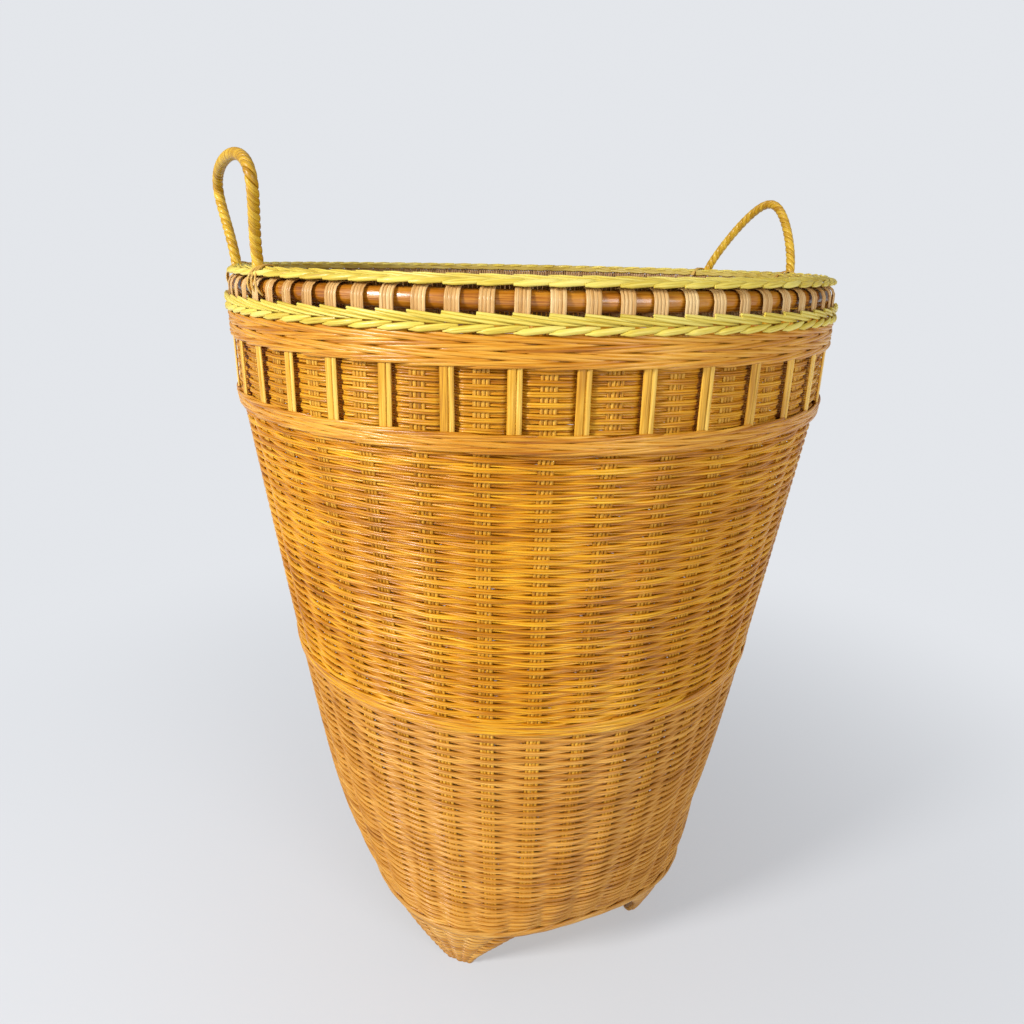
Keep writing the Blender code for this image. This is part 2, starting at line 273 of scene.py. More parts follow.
def strand_tree(name, sizes, route, closed, material):
    """Strands laid by a rule. The route gives each point's place, facing and thickness."""
    tree = bpy.data.node_groups.new(name, "GeometryNodeTree")
    tree.interface.new_socket("Geometry", in_out="INPUT", socket_type="NodeSocketGeometry")
    for label, amount in sizes.items():
        kind = "NodeSocketInt" if isinstance(amount, int) else "NodeSocketFloat"
        tree.interface.new_socket(label, in_out="INPUT", socket_type=kind)
    tree.interface.new_socket("Geometry", in_out="OUTPUT", socket_type="NodeSocketGeometry")
    entry = tree.nodes.new("NodeGroupInput")
    size = {label: Value(tree, entry.outputs[label]) for label in sizes}

    def add(kind, **links):
        node = tree.nodes.new(kind)
        for label, item in links.items():
            feed(tree, item, node.inputs[label.replace("_", " ")])
        return node

    def store(geometry, label, item, kind="FLOAT"):
        node = tree.nodes.new("GeometryNodeStoreNamedAttribute")
        node.data_type = kind
        node.inputs["Name"].default_value = label
        tree.links.new(geometry, node.inputs["Geometry"])
        feed(tree, item, node.inputs["Value"])
        return node.outputs["Geometry"]

    seats = add("GeometryNodeMeshLine", Count=size["Strands"], Offset=(0.0, 0.0, 0.0))
    order = Value(tree, tree.nodes.new("GeometryNodeInputIndex").outputs["Index"])
    numbered = store(seats.outputs["Mesh"], "number", order, "INT")
    if closed:
        line = add("GeometryNodeCurvePrimitiveCircle", Resolution=size["Points"])
        blank = line.outputs["Curve"]
    else:
        line = add("GeometryNodeCurvePrimitiveLine")
        spaced = add("GeometryNodeResampleCurve", Count=size["Points"])
        tree.links.new(line.outputs["Curve"], spaced.inputs["Curve"])
        blank = spaced.outputs["Curve"]
    copies = tree.nodes.new("GeometryNodeInstanceOnPoints")
    tree.links.new(numbered, copies.inputs["Points"])
    tree.links.new(blank, copies.inputs["Instance"])
    real = tree.nodes.new("GeometryNodeRealizeInstances")
    tree.links.new(copies.outputs["Instances"], real.inputs["Geometry"])
    read = tree.nodes.new("GeometryNodeInputNamedAttribute")
    read.data_type = "INT"
    read.inputs["Name"].default_value = "number"
    number = Value(tree, read.outputs["Attribute"])
    share = Value(tree, tree.nodes.new("GeometryNodeSplineParameter").outputs["Factor"])
    place, facing, thickness = route(tree, size, number, share)
    kept = store(real.outputs["Geometry"], "thickness", thickness)
    faced = store(kept, "facing", facing, "FLOAT_VECTOR")
    lay = tree.nodes.new("GeometryNodeSetPosition")
    tree.links.new(faced, lay.inputs["Geometry"])
    feed(tree, place, lay.inputs["Position"])
    chance = tree.nodes.new("FunctionNodeRandomValue")
    tree.links.new(number.socket, chance.inputs["ID"])
    chance.inputs["Seed"].default_value = 11
    odd = store(lay.outputs["Geometry"], "strand", Value(tree, chance.outputs[1]))
    length = Value(tree, tree.nodes.new("GeometryNodeSplineParameter").outputs["Length"])
    measured = store(odd, "run", length)
    turn = tree.nodes.new("GeometryNodeSetCurveNormal")
    turn.mode = "FREE"
    tree.links.new(measured, turn.inputs["Curve"])
    face = tree.nodes.new("GeometryNodeInputNamedAttribute")
    face.data_type = "FLOAT_VECTOR"
    face.inputs["Name"].default_value = "facing"
    tree.links.new(face.outputs["Attribute"], turn.inputs["Normal"])
    hoop = add("GeometryNodeCurvePrimitiveCircle", Resolution=size["Sides"])
    hoop.inputs["Radius"].default_value = 1.0
    at = tree.nodes.new("GeometryNodeInputPosition")
    part = tree.nodes.new("ShaderNodeSeparateXYZ")
    tree.links.new(at.outputs["Position"], part.inputs["Vector"])
    out, over = Value(tree, part.outputs["X"]), Value(tree, part.outputs["Y"])
    marked = store(hoop.outputs["Curve"], "across", over)
    shape = tree.nodes.new("GeometryNodeSetPosition")
    tree.links.new(marked, shape.inputs["Geometry"])
    flat = vector(tree, out * size["Half thickness"], over * size["Half width"], 0.0)
    feed(tree, flat, shape.inputs["Position"])
    skin = tree.nodes.new("GeometryNodeCurveToMesh")
    tree.links.new(turn.outputs["Curve"], skin.inputs["Curve"])
    tree.links.new(shape.outputs["Geometry"], skin.inputs["Profile Curve"])
    stout = tree.nodes.new("GeometryNodeInputNamedAttribute")
    stout.data_type = "FLOAT"
    stout.inputs["Name"].default_value = "thickness"
    tree.links.new(stout.outputs["Attribute"], skin.inputs["Scale"])
    skin.inputs["Fill Caps"].default_value = not closed
    smooth = tree.nodes.new("GeometryNodeSetShadeSmooth")
    tree.links.new(skin.outputs["Mesh"], smooth.inputs["Geometry"])
    last = tree.nodes.new("GeometryNodeRealizeInstances")
    tree.links.new(smooth.outputs["Geometry"], last.inputs["Geometry"])
    coat = tree.nodes.new("GeometryNodeSetMaterial")
    coat.inputs["Material"].default_value = material
    tree.links.new(last.outputs["Geometry"], coat.inputs["Geometry"])
    leave = tree.nodes.new("NodeGroupOutput")
    tree.links.new(coat.outputs["Geometry"], leave.inputs["Geometry"])
    return tree


def plain_piece(name, tree, sizes):
    """Runs a node tree with its sizes and keeps the result as a plain mesh."""
    maker = bpy.data.objects.new(f"{name}_maker", bpy.data.meshes.new(f"{name}_maker"))
    scene.collection.objects.link(maker)
    work = maker.modifiers.new("strands", "NODES")
    work.node_group = tree
    for item in tree.interface.items_tree:
        if item.in_out == "INPUT" and item.name in sizes:
            work[item.identifier] = sizes[item.name]
    graph = bpy.context.evaluated_depsgraph_get()
    mesh = bpy.data.meshes.new_from_object(maker.evaluated_get(graph), depsgraph=graph)
    mesh.name = name
    piece = bpy.data.objects.new(name, mesh)
    scene.collection.objects.link(piece)
    bpy.data.objects.remove(maker, do_unlink=True)
    return piece


def strands(name, sizes, route, closed, material, body="basket", stands_for=()):
    tree = strand_tree(name, sizes, route, closed, material)
    piece = plain_piece(name, tree, sizes)
    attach(piece, body)
    if stands_for:
        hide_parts(*stands_for)
    return piece


def cane_grain():
    """Long fibres, strands of unlike tone and pools of varnish, shared by every cane."""
    group = bpy.data.node_groups.new("cane grain", "ShaderNodeTree")
    for label, kind in (("Fibre", "NodeSocketVector"), ("Place", "NodeSocketVector"),
                        ("Strand", "NodeSocketFloat"), ("Pale", "NodeSocketColor"),
                        ("Main", "NodeSocketColor"), ("Deep", "NodeSocketColor"),
                        ("Pools", "NodeSocketFloat"), ("Gloss", "NodeSocketFloat")):
        group.interface.new_socket(label, in_out="INPUT", socket_type=kind)
    for label, kind in (("Color", "NodeSocketColor"), ("Roughness", "NodeSocketFloat"),
                        ("Height", "NodeSocketFloat")):
        group.interface.new_socket(label, in_out="OUTPUT", socket_type=kind)
    entry = group.nodes.new("NodeGroupInput")
    leave = group.nodes.new("NodeGroupOutput")

    def taken(label):
        return Value(group, entry.outputs[label])

    fine = uneven(group, taken("Fibre"), 1.0, 3.0)
    pools = uneven(group, taken("Place"), 17.0, 2.0) * taken("Pools")
    odd = taken("Strand") - 0.5
    tone = fine * 1.35 + odd * 0.75 + pools * 1.6
    light = (tone * 0.9 + 0.12).clamped()
    dark = (tone * -1.0 - 0.02).clamped()
    first = group.nodes.new("ShaderNodeMix")
    first.data_type = "RGBA"
    feed(group, light, first.inputs["Factor"])
    group.links.new(entry.outputs["Main"], first.inputs["A"])
    group.links.new(entry.outputs["Pale"], first.inputs["B"])
    second = group.nodes.new("ShaderNodeMix")
    second.data_type = "RGBA"
    feed(group, dark, second.inputs["Factor"])
    group.links.new(first.outputs["Result"], second.inputs["A"])
    group.links.new(entry.outputs["Deep"], second.inputs["B"])
    group.links.new(second.outputs["Result"], leave.inputs["Color"])
    rough = (0.62 - 0.34 * taken("Gloss") + fine * 0.12 - pools * 0.10).clamped()
    feed(group, rough, leave.inputs["Roughness"])
    feed(group, fine, leave.inputs["Height"])
    return group


CANE_GRAIN = cane_grain()


def cane(name, pale, main, deep, along, pools=0.5, gloss=0.6, coat=0.16, bump=0.00025):
    """A cane finish. along is ring, upright or run: the way its fibres lie."""
    finish = bpy.data.materials.new(name)
    finish.use_nodes = True
    tree = finish.node_tree
    shader = tree.nodes["Principled BSDF"]
    grain = tree.nodes.new("ShaderNodeGroup")
    grain.node_tree = CANE_GRAIN
    where = tree.nodes.new("ShaderNodeTexCoord")
    odd = tree.nodes.new("ShaderNodeAttribute")
    odd.attribute_name = "strand"
    tree.links.new(where.outputs["Object"], grain.inputs["Place"])
    tree.links.new(odd.outputs["Fac"], grain.inputs["Strand"])
    part = tree.nodes.new("ShaderNodeSeparateXYZ")
    tree.links.new(where.outputs["Object"], part.inputs["Vector"])
    x, y, z = (Value(tree, part.outputs[axis]) for axis in "XYZ")
    shift = Value(tree, odd.outputs["Fac"]) * 37.0
    if along == "ring":
        fibre = vector(tree, x * 45.0 + shift, y * 45.0, z * 1500.0)
    elif along == "upright":
        fibre = vector(tree, x * 1500.0 + shift, y * 1500.0, z * 45.0)
    else:
        run = tree.nodes.new("ShaderNodeAttribute")
        run.attribute_name = "run"
        across = tree.nodes.new("ShaderNodeAttribute")
        across.attribute_name = "across"
        fibre = vector(tree, Value(tree, run.outputs["Fac"]) * 60.0,
                       Value(tree, across.outputs["Fac"]) * 2.4, shift)
    feed(tree, fibre, grain.inputs["Fibre"])
    grain.inputs["Pale"].default_value = (*pale, 1.0)
    grain.inputs["Main"].default_value = (*main, 1.0)
    grain.inputs["Deep"].default_value = (*deep, 1.0)
    grain.inputs["Pools"].default_value = pools
    grain.inputs["Gloss"].default_value = gloss
    ridge = tree.nodes.new("ShaderNodeBump")
    ridge.inputs["Strength"].default_value = 0.6
    ridge.inputs["Distance"].default_value = bump
    tree.links.new(grain.outputs["Height"], ridge.inputs["Height"])
    tree.links.new(grain.outputs["Color"], shader.inputs["Base Color"])
    tree.links.new(grain.outputs["Roughness"], shader.inputs["Roughness"])
    tree.links.new(ridge.outputs["Normal"], shader.inputs["Normal"])
    shader.inputs["Coat Weight"].default_value = coat
    shader.inputs["Specular IOR Level"].default_value = 0.35
    shader.inputs["Coat Roughness"].default_value = 0.18
    return finish


stake_cane = cane("stake cane", (0.80, 0.47, 0.060), (0.56, 0.26, 0.012), (0.22, 0.07, 0.002),
                  "upright", gloss=0.4)
stake_sizes = {"Strands": STAKES * 4, "Points": 40, "Sides": 6, "Half thickness": 0.00060,
               "Half width": 0.00106, "Strip pitch": 0.00216, "Depth": STRAND_DEPTH,
               "Foot": base_level + 0.0002, "Top": wall_top}


def stake_route(tree, size, number, share):
    bundle = number.groups(4.0)
    strip = number.within(4.0)
    z = size["Foot"] + (size["Top"] - size["Foot"]) * share
    half = body_half(z) - size["Depth"]
    sway = uneven(tree, vector(tree, number * 3.7, z * 14.0, 0.5), 1.0) * 0.00022
    middle = bundle * STAKE_PITCH + STAKE_TURN
    angle = middle + ((strip - 1.5) * size["Strip pitch"] + sway) / half
    x, y = outline(half, angle, z)
    facing = vector(tree, angle.math("COSINE"), angle.math("SINE"), 0.0)
    stout = 1.0 + uneven(tree, vector(tree, number * 5.1, z * 30.0, 2.5), 1.0) * 0.12
    return vector(tree, x, y, z), facing, stout


strands("stakes", stake_sizes, stake_route, False, stake_cane)


# ---------------------------------------------------------------- woven walls
# Pairs of thin round strands pass before one stake and behind the next, row on row. The body
# below the ridge is paler; above it the varnish is golden and lies thicker.
STRAND_LAG = 0.004
LOWER_WALL_INSET = 0.0003
low_first_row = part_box("lower_wall")[0].z - 0.0019
high_first_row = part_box("upper_wall")[0].z - 0.0018


def weft_route(tree, size, number, share):
    row = number.groups(2.0) + size["First number"]
    pair = number.within(2.0)
    side = row.by_turns()
    z = size["First row"] + row * size["Row pitch"] + row * row * size["Pitch growth"]
    angle = share * math.tau
    round_x, round_y = angle.math("COSINE"), angle.math("SINE")
    drift = uneven(tree, vector(tree, round_x * 3.0, round_y * 3.0, z * 25.0), 1.0) * 0.0011
    lift = uneven(tree, vector(tree, round_x * 9.0, round_y * 9.0, row * 7.3), 1.0) * 0.00030
    slip = uneven(tree, vector(tree, round_x * 16.0, round_y * 16.0, number * 3.1), 1.0) * 0.00022
    level = z + (pair - 0.5) * size["Pair spacing"] + drift + lift + slip
    wave = ((angle - STAKE_TURN - size["Lag"]) * (0.5 * STAKES)).math("COSINE")
    proud = uneven(tree, vector(tree, round_x * 12.0, round_y * 12.0, number * 5.7), 1.0) * 0.00022
    half = body_half(level) - size["Depth"] + side * wave * size["Wave"] + proud
    x, y = outline(half, angle, level)
    facing = vector(tree, round_x, round_y, 0.0)
    stout = 1.0 + uneven(tree, vector(tree, round_x * 5.0, round_y * 5.0, number * 9.1), 1.0) * 0.16
    return vector(tree, x, y, level), facing, stout


def weft(name, rows, first_number, first_row, pitch, growth, depth, material, stands_for=()):
    sizes = {"Strands": rows * 2, "Points": STAKES * 6, "Sides": 6, "Half thickness": 0.00112,
             "Half width": 0.00084, "First number": float(first_number), "First row": first_row,
             "Row pitch": pitch, "Pitch growth": growth, "Pair spacing": 0.00136,
             "Depth": depth, "Wave": 0.00135, "Lag": STRAND_LAG}
    return strands(name, sizes, weft_route, True, material, stands_for=stands_for)


pale_weft = cane("pale weft", (0.74, 0.40, 0.075), (0.52, 0.22, 0.020), (0.26, 0.085, 0.004),
                 "ring", pools=0.2, gloss=0.45)
honey_weft = cane("honey weft", (0.82, 0.46, 0.022), (0.55, 0.21, 0.002), (0.22, 0.06, 0.0005),
                  "ring", pools=0.34, gloss=0.7)
LOW_ROWS = 36
LOW_PITCH = 0.00250
LOW_GROWTH = 2.65e-6
low_depth = STRAND_DEPTH + LOWER_WALL_INSET
weft("lower_weft_foot", LOW_ROWS, 0, low_first_row, LOW_PITCH, LOW_GROWTH, low_depth,
     pale_weft, ("lower_wall",))
weft("lower_weft_head", LOW_ROWS, LOW_ROWS, low_first_row, LOW_PITCH, LOW_GROWTH, low_depth,
     pale_weft)
HIGH_ROWS = 33
HIGH_PITCH = 0.00278
HIGH_GROWTH = -0.9e-6
weft("upper_weft_foot", HIGH_ROWS, 0, high_first_row, HIGH_PITCH, HIGH_GROWTH, STRAND_DEPTH,
     honey_weft, ("upper_wall",))
weft("upper_weft_head", HIGH_ROWS, HIGH_ROWS, high_first_row, HIGH_PITCH, HIGH_GROWTH, STRAND_DEPTH,
     honey_weft)


# ---------------------------------------------------------------- the slat band
# Above the body the same weave goes on, pressed in beside thirty-eight flat slats. Each slat
# is two strips of flat cane side by side, its ends held under the bands above and below.
slat_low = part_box("slat_01")[0].z
slat_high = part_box("slat_01")[1].z
SLAT_TURN = math.radians(-0.8)


def band_weft_route(tree, size, number, share):
    row = number.groups(2.0)
    pair = number.within(2.0)
    side = row.by_turns()
    angle = share * math.tau
    round_x, round_y = angle.math("COSINE"), angle.math("SINE")
    lift = uneven(tree, vector(tree, round_x * 9.0, round_y * 9.0, row * 7.3), 1.0) * 0.00035
    slip = uneven(tree, vector(tree, round_x * 16.0, round_y * 16.0, number * 3.1), 1.0) * 0.00020
    spot = size["First row"] + row * size["Row pitch"] + (pair - 0.5) * size["Pair spacing"]
    level = spot + lift + slip
    wave = ((angle - STAKE_TURN - size["Lag"]) * (0.5 * STAKES)).math("COSINE")
    beside = ((angle - SLAT_TURN - size["Dip lag"]) * STAKES).math("COSINE")
    dip = ((beside - 0.58) / 0.14).eased() * size["Dip"]
    half = body_half(level) - size["Depth"] + side * wave * size["Wave"] - dip
    facing = vector(tree, round_x, round_y, 0.0)
    stout = 1.0 + uneven(tree, vector(tree, round_x * 5.0, round_y * 5.0, number * 9.1), 1.0) * 0.14
    return vector(tree, half * round_x, half * round_y, level), facing, stout


band_weft_sizes = {"Strands": 34, "Points": STAKES * 10, "Sides": 6, "Half thickness": 0.00100,
                   "Half width": 0.00078, "First row": slat_foot - 0.0068, "Row pitch": 0.00266,
                   "Pair spacing": 0.00126, "Depth": STRAND_DEPTH, "Wave": 0.00110,
                   "Lag": STRAND_LAG, "Dip": 0.0030, "Dip lag": 0.0044}
slat_weft = cane("slat band weft", (0.82, 0.47, 0.032), (0.53, 0.21, 0.003), (0.22, 0.06, 0.0008),
                 "ring", pools=0.4, gloss=0.6)
strands("slat_band_weft", band_weft_sizes, band_weft_route, True, slat_weft)


def slat_route(tree, size, number, share):
    z = size["Foot"] + (size["Head"] - size["Foot"]) * share
    half = body_half(z) + size["Stand off"]
    wander = uneven(tree, vector(tree, number * 4.3, z * 22.0, 3.5), 1.0) * 0.00018
    lean = uneven(tree, vector(tree, number * 2.9, 0.5, 8.5), 1.0) * (share - 0.5) * 0.0022
    angle = number * STAKE_PITCH + SLAT_TURN + (size["Offset"] + wander + lean) / half
    facing = vector(tree, angle.math("COSINE"), angle.math("SINE"), 0.0)
    place = vector(tree, half * angle.math("COSINE"), half * angle.math("SINE"), z)
    stout = 1.0 + uneven(tree, vector(tree, number * 6.1, z * 40.0, 1.5), 1.0) * 0.05
    return place, facing, stout


slat_gold = cane("slat gold", (0.84, 0.52, 0.085), (0.66, 0.33, 0.018), (0.36, 0.13, 0.004),
                 "upright", pools=0.6, gloss=0.65)
slat_pale = cane("slat pale", (0.88, 0.62, 0.170), (0.74, 0.44, 0.060), (0.44, 0.19, 0.010),
                 "upright", pools=0.5, gloss=0.65)
slat_nodes = [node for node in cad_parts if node.startswith("slat_")]
for half_name, offset, half_width, finish, nodes in (
        ("slats_left_strip", -0.00140, 0.00224, slat_gold, slat_nodes),
        ("slats_right_strip", 0.00234, 0.00142, slat_pale, ())):
    slat_sizes = {"Strands": STAKES, "Points": 14, "Sides": 10, "Half thickness": 0.00066,
                  "Half width": half_width, "Foot": slat_low, "Head": slat_high,
                  "Stand off": 0.00072, "Offset": offset}
    strands(half_name, slat_sizes, slat_route, False, finish, stands_for=nodes)


# ---------------------------------------------------------------- twined wales
# Thick cane twined in threes makes the ridge half way up, the two bands that hold the slats
# and the edge of the base. Each rod passes over two stakes on a slant and behind the third.
FRONT_SHARE = 0.72
WALE_PERIODS = 13.0


def wale_route(tree, size, number, share):
    row = number.groups(3.0)
    rod = number.within(3.0)
    flip = row.by_turns()
    angle = share * math.tau
    round_x, round_y = angle.math("COSINE"), angle.math("SINE")
    cycle = (share * size["Periods"] + rod / 3.0 + row * 0.41).math("FRACT")
    front = (cycle / FRONT_SHARE).clamped()
    back = ((cycle - FRONT_SHARE) / (1.0 - FRONT_SHARE)).clamped()
    rise = (front - 0.5) * 2.0 - back.eased() * 2.0
    bulge = (front * math.pi).math("SINE") * size["Bulge"]
    tuck = (back * math.pi).math("SINE") * size["Tuck"]
    wander = uneven(tree, vector(tree, round_x * 7.0, round_y * 7.0, number * 4.9), 1.0) * 0.00025
    middle = size["Height"] + (row - (size["Rows"] - 1.0) * 0.5) * size["Row pitch"]
    z = middle + rise * flip * size["Climb"] + wander
    half = body_half(z) + size["Stand off"] + bulge - tuck
    x, y = outline(half, angle, z)
    facing = vector(tree, round_x, round_y, 0.0)
    stout = 1.0 + uneven(tree, vector(tree, round_x * 4.0, round_y * 4.0, number * 8.7), 1.0) * 0.10
    return vector(tree, x, y, z), facing, stout


def wale(name, node, rows, pitch, climb, half_width, stand_off, bulge, tuck, material):
    low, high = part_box(node)[0].z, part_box(node)[1].z
    sizes = {"Strands": rows * 3, "Points": STAKES * 8, "Sides": 8,
             "Half thickness": half_width * 0.72, "Half width": half_width, "Rows": float(rows),
             "Row pitch": pitch, "Height": 0.5 * (low + high), "Periods": WALE_PERIODS, "Climb": climb,
             "Stand off": stand_off, "Bulge": bulge, "Tuck": tuck}
    return strands(name, sizes, wale_route, True, material, stands_for=(node,))


band_cane = cane("band cane", (0.78, 0.42, 0.055), (0.52, 0.20, 0.006), (0.24, 0.06, 0.001),
                 "ring", pools=0.6, gloss=0.75)
wale("upper_band", "upper_band_wale", 4, 0.0038, 0.0017, 0.00112, 0.0015, 0.0008, 0.0028,
     band_cane)
wale("lower_band", "lower_band_wale", 3, 0.0031, 0.0014, 0.00100, 0.0014, 0.0006, 0.0026,
     band_cane)
wale("middle_ridge", "mid_wale", 3, 0.0028, 0.0013, 0.00096, -0.0002, 0.0008, 0.0024,
     honey_weft)


# ---------------------------------------------------------------- base edge and panel
# A thick twined edge borders the square base. The panel inside it is flat cane strips in plain
# weave, and it stands clear of the floor.
edge_cane = cane("edge cane", (0.68, 0.38, 0.085), (0.48, 0.21, 0.024), (0.24, 0.085, 0.006),
                 "ring", pools=0.5, gloss=0.45)
wale("base_edge", "base_wale", 1, 0.0, 0.0012, 0.00175, 0.0002, 0.0012, 0.0014,
     edge_cane)

panel_level = 0.5 * (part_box("base_panel")[0].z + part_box("base_panel")[1].z)
panel_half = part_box("base_panel")[1].x
PANEL_STRIPS = 38


def panel_route(tree, size, number, share):
    way = number.groups(size["Strips"])
    strip = number.within(size["Strips"])
    cross = ((strip + 0.5) / size["Strips"] * 2.0 - 1.0) * size["Half side"]
    room = size["Half side"] ** BASE_SQUARE - cross.math("ABSOLUTE") ** BASE_SQUARE
    inside = room ** (1.0 / BASE_SQUARE)
    along = (share * 2.0 - 1.0) * inside
    beat = (along + size["Half side"]) / size["Strip pitch"] * math.pi
    parity = (strip + way).math("PINGPONG", 1.0) * 2.0 - 1.0
    z = size["Height"] + beat.math("SINE") * parity * size["Weave"]
    x = along * (1.0 - way) + cross * way
    y = cross * (1.0 - way) + along * way
    return vector(tree, x, y, z), vector(tree, 0.0, 0.0, 1.0), 1.0 + share * 0.0


panel_sizes = {"Strands": PANEL_STRIPS * 2, "Points": 77, "Sides": 6, "Half thickness": 0.00055,
               "Half width": 0.0030, "Strips": float(PANEL_STRIPS), "Half side": panel_half,
               "Strip pitch": 2.0 * panel_half / PANEL_STRIPS, "Height": panel_level,
               "Weave": 0.0006}
panel_cane = cane("panel cane", (0.72, 0.46, 0.120), (0.56, 0.29, 0.045), (0.32, 0.12, 0.010), "run",
                  pools=0.4, gloss=0.35)
strands("base_weave", panel_sizes, panel_route, False, panel_cane,
        stands_for=("base_panel",))


# ---------------------------------------------------------------- corner feet
# The four feet are the wall's own weave, drawn down and in from the base's corners to small
# tips. A core of packed stake ends fills each foot behind its woven face, coloured darker than
# the weave as painted shade.
FOOT_TIP = 0.1140
FOOT_HEAD = 0.1372
FOOT_ROWS = 23
foot_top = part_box("base_wale")[0].z


def foot_spread(level):
    """Half the angle that a foot takes up: level is 0 at the floor and 1 under the base."""
    return math.radians(6.5) + math.radians(19.5) * level ** 1.3


def foot_half(level):
    """Half the width of the square on whose corners the feet stand."""
    return (base_half - 0.0012) * ((FOOT_TIP + (FOOT_HEAD - FOOT_TIP) * level ** 0.9) / FOOT_HEAD)


def foot_weft_route(tree, size, number, share):
    foot = number.groups(size["Rows"])
    row = number.within(size["Rows"])
    level = (row + 0.35) / size["Rows"]
    side = row.by_turns()
    angle = share * math.tau
    turn = angle.math("COSINE")
    inner = 0.5 - angle.math("SINE") * 0.5
    wave = (turn * math.pi * 3.0).math("SINE") * side * size["Wave"] * (level * 0.6 + 0.4)
    thick = 0.0075 - 0.0040 * level
    depth = 0.0011 + inner.eased() * thick - wave
    corner = foot * (0.5 * math.pi) + 0.25 * math.pi
    bearing = turn * foot_spread(level) + corner
    along_x, along_y = bearing.math("COSINE"), bearing.math("SINE")
    wide = along_x.math("ABSOLUTE") ** BASE_SQUARE + along_y.math("ABSOLUTE") ** BASE_SQUARE
    reach = (foot_half(level) - depth) / wide ** (1.0 / BASE_SQUARE)
    lift = uneven(tree, vector(tree, turn * 3.0, inner * 2.0, number * 3.3), 1.0) * 0.0002
    place = vector(tree, reach * along_x, reach * along_y, level * foot_top + lift + 0.0004)
    return place, vector(tree, along_x, along_y, 0.0), 1.0 + share * 0.0


def foot_core_mesh():
    """Four closed tapering cores, each a stack of rings of outer and inner points."""
    points, faces = [], []
    levels = (0.01, 0.25, 0.5, 0.75, 0.99)
    steps = range(-4, 5)
    ring_size = 2 * len(steps)
    for quarter in range(4):
        corner = math.radians(45.0 + 90.0 * quarter)
        first = len(points)
        for level in levels:
            spread = foot_spread(level) * 0.93
            outer = foot_half(level) - 0.0021
            inner = outer - (0.0060 - 0.0040 * level)
            bearings = [corner + spread * step / 4.0 for step in steps]
            for half, turns in ((outer, bearings), (inner, bearings[::-1])):
                for turn in turns:
                    wide = abs(math.cos(turn)) ** BASE_SQUARE + abs(math.sin(turn)) ** BASE_SQUARE
                    reach = half / wide ** (1.0 / BASE_SQUARE)
                    points.append((reach * math.cos(turn), reach * math.sin(turn), level * foot_top))
        for ring in range(len(levels) - 1):
            for spot in range(ring_size):
                here = first + ring * ring_size + spot
                after = first + ring * ring_size + (spot + 1) % ring_size
                faces.append((here, after, after + ring_size, here + ring_size))
        last = first + (len(levels) - 1) * ring_size
        faces.append([first + spot for spot in reversed(range(ring_size))])
        faces.append([last + spot for spot in range(ring_size)])
    mesh = bpy.data.meshes.new("foot_cores")
    mesh.from_pydata(points, [], faces)
    return mesh


# The core's cane is the edge cane painted darker: painted shade seen between the foot's strands.
shade_painted_core_cane = cane("foot core painted shade cane", (0.42, 0.22, 0.040), (0.28, 0.12, 0.012), (0.14, 0.05, 0.003),
                 "ring", pools=0.4, gloss=0.3)
core_mesh = foot_core_mesh()
core_mesh.materials.append(shade_painted_core_cane)
foot_cores = bpy.data.objects.new("foot_cores", core_mesh)
scene.collection.objects.link(foot_cores)
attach(foot_cores, "basket")
foot_sizes = {"Strands": FOOT_ROWS * 4, "Points": 120, "Sides": 6, "Half thickness": 0.00095,
              "Half width": 0.00120, "Rows": float(FOOT_ROWS), "Wave": 0.0015}
strands("foot_weave", foot_sizes, foot_weft_route, True, edge_cane,
        stands_for=("foot_right_back", "foot_left_back", "foot_left_front", "foot_right_front"))


# ---------------------------------------------------------------- rim hoop
# A round rod of rattan, bent into a hoop and lacquered brown, stiffens the open mouth.
# It lies on the head of the wall and shows between the strips that hold it down.
hoop_low, hoop_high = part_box("rim_hoop")
HOOP_Z = 0.5 * (hoop_low.z + hoop_high.z)
HOOP_R = 0.1910


def hoop_route(tree, size, number, share):
    angle = share * math.tau
    round_x, round_y = angle.math("COSINE"), angle.math("SINE")
    sway = uneven(tree, vector(tree, round_x * 3.0, round_y * 3.0, 0.5), 1.0) * 0.0003
    place = vector(tree, round_x * size["Hoop radius"], round_y * size["Hoop radius"],
                   size["Height"] + sway)
    stout = 1.0 + uneven(tree, vector(tree, round_x * 5.0, round_y * 5.0, 4.5), 1.0) * 0.02
    return place, vector(tree, round_x, round_y, 0.0), stout


hoop_sizes = {"Strands": 1, "Points": 304, "Sides": 20, "Half thickness": 0.0049,
              "Half width": 0.0051, "Hoop radius": HOOP_R, "Height": HOOP_Z}
hoop_lacquer = cane("hoop lacquer", (0.58, 0.25, 0.020), (0.40, 0.130, 0.005), (0.17, 0.040, 0.002),
                    "ring", pools=0.9, gloss=0.95, coat=0.9)
strands("rattan_hoop", hoop_sizes, hoop_route, True, hoop_lacquer,
        stands_for=("rim_hoop",))


# ---------------------------------------------------------------- rim strips
# The stake ends go on as flat tan strips: seventy-six bundles of four fold over the hoop, and
# their inner legs stand side by side against the inside of the rim, coloured darker as painted shade.
WRAPS = 76
WRAP_PITCH = math.tau / WRAPS
INNER_STRIPS = 7


